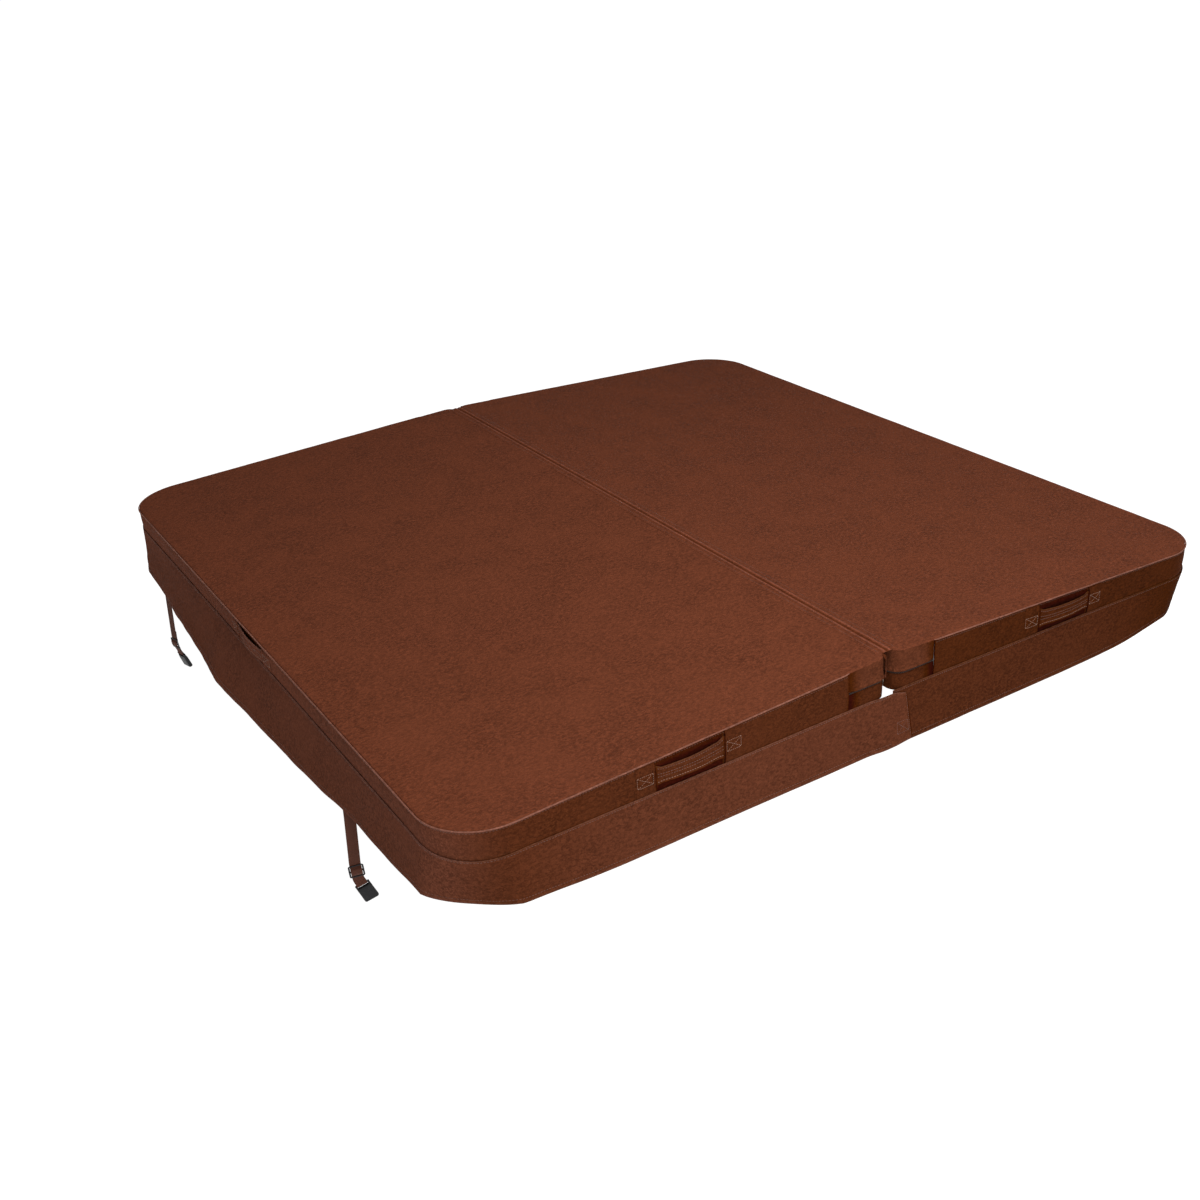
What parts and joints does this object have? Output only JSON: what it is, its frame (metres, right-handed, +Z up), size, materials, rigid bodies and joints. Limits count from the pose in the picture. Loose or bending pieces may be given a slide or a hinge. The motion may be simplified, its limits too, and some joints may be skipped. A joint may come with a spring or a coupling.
{
  "type": "spa cover",
  "caption": "Square bifold spa cover in brown leather-grain vinyl, tapered from fold to edge, with a hanging skirt, zips, carry handles and buckled tie-down straps",
  "frame": {"origin": "under the middle of the fold, on the plane of the tub's rim that the undersides rest on", "axes": "+X runs across the fold toward the right half, +Y runs along the fold, +Z points up"},
  "size_m": [2.195, 2.117, 0.504],
  "materials": {
    "vinyl": "leather-grain vinyl, semi-matte",
    "vinyl_underside": "smooth vinyl, matte",
    "piping": "vinyl welt, satin",
    "foam": "expanded polystyrene, matte",
    "film": "polyethylene film, satin",
    "steel": "galvanised steel, satin",
    "zip_tape": "woven zip tape, matte",
    "zip_metal": "plated zinc, satin",
    "webbing": "woven webbing, matte",
    "hook_and_loop": "hook-and-loop tape, matte",
    "black_plastic": "moulded acetal, satin"
  },
  "bodies": {
    "left_panel": {"left_foam_core": "foam", "left_vapour_film": "film", "left_edge_channel": "steel", "left_top_skin": "vinyl", "left_bottom_skin": "vinyl_underside", "left_boxing": "vinyl", "left_zip_band_lower": "vinyl", "left_zip_band_upper": "vinyl", "left_zip_chain": "zip_tape", "left_piping": "piping", "left_hinge_leaf": "vinyl", "left_skirt": "vinyl", "left_flap_hook": "hook_and_loop", "left_flap_loop": "hook_and_loop", "left_handle_near": "vinyl", "left_handle_far": "vinyl", "left_handle_side": "vinyl"},
    "right_panel": {"right_foam_core": "foam", "right_vapour_film": "film", "right_edge_channel": "steel", "right_top_skin": "vinyl", "right_bottom_skin": "vinyl_underside", "right_boxing": "vinyl", "right_zip_band_lower": "vinyl", "right_zip_band_upper": "vinyl", "right_zip_chain": "zip_tape", "right_piping": "piping", "right_hinge_leaf": "vinyl", "right_skirt": "vinyl", "right_flap_hook": "hook_and_loop", "right_flap_loop": "hook_and_loop", "right_handle_near": "vinyl", "right_handle_far": "vinyl", "right_handle_side": "vinyl"},
    "left_zip_slider": {"left_zip_slider": "zip_metal"},
    "left_zip_pull": {"left_zip_pull": "zip_metal"},
    "right_zip_slider": {"right_zip_slider": "zip_metal"},
    "right_zip_pull": {"right_zip_pull": "zip_metal"},
    "left_strap_a": {"left_strap_webbing_a": "webbing", "left_strap_adjuster_a": "black_plastic", "left_strap_buckle_a": "black_plastic"},
    "left_strap_b": {"left_strap_webbing_b": "webbing", "left_strap_adjuster_b": "black_plastic", "left_strap_buckle_b": "black_plastic"},
    "right_strap_a": {"right_strap_webbing_a": "webbing", "right_strap_adjuster_a": "black_plastic", "right_strap_buckle_a": "black_plastic"},
    "right_strap_b": {"right_strap_webbing_b": "webbing", "right_strap_adjuster_b": "black_plastic", "right_strap_buckle_b": "black_plastic"}
  },
  "joints": [
    {"name": "fold", "type": "hinge", "parent": "left_panel", "child": "right_panel", "pos_m": [0, 0, 0.1018], "axis": [0, -1, 0], "range_deg": [0, 180]},
    {"name": "left_zip", "type": "slide", "parent": "left_panel", "child": "left_zip_slider", "axis": [0, 1, 0], "range_m": [0, 2.0067]},
    {"name": "left_pull_swing", "type": "hinge", "parent": "left_zip_slider", "child": "left_zip_pull", "pos_m": [-0.01, -1.0217, 0.043], "axis": [1, 0, 0], "range_deg": [-90, 90]},
    {"name": "right_zip", "type": "slide", "parent": "right_panel", "child": "right_zip_slider", "axis": [0, -1, 0], "range_m": [0, 2.0067]},
    {"name": "right_pull_swing", "type": "hinge", "parent": "right_zip_slider", "child": "right_zip_pull", "pos_m": [0.01, 1.0217, 0.043], "axis": [-1, 0, 0], "range_deg": [-90, 90]},
    {"name": "left_strap_a_swing", "type": "hinge", "parent": "left_panel", "child": "left_strap_a", "pos_m": [-1.0445, 0.82, -0.003], "axis": [0, -1, 0], "range_deg": [-2.5, 80]},
    {"name": "left_strap_b_swing", "type": "hinge", "parent": "left_panel", "child": "left_strap_b", "pos_m": [-1.0445, -0.51, -0.003], "axis": [0, -1, 0], "range_deg": [-2.5, 80]},
    {"name": "right_strap_a_swing", "type": "hinge", "parent": "right_panel", "child": "right_strap_a", "pos_m": [1.0445, 0.82, -0.003], "axis": [0, 1, 0], "range_deg": [-2.5, 80]},
    {"name": "right_strap_b_swing", "type": "hinge", "parent": "right_panel", "child": "right_strap_b", "pos_m": [1.0445, -0.51, -0.003], "axis": [0, 1, 0], "range_deg": [-2.5, 80]}
  ]
}
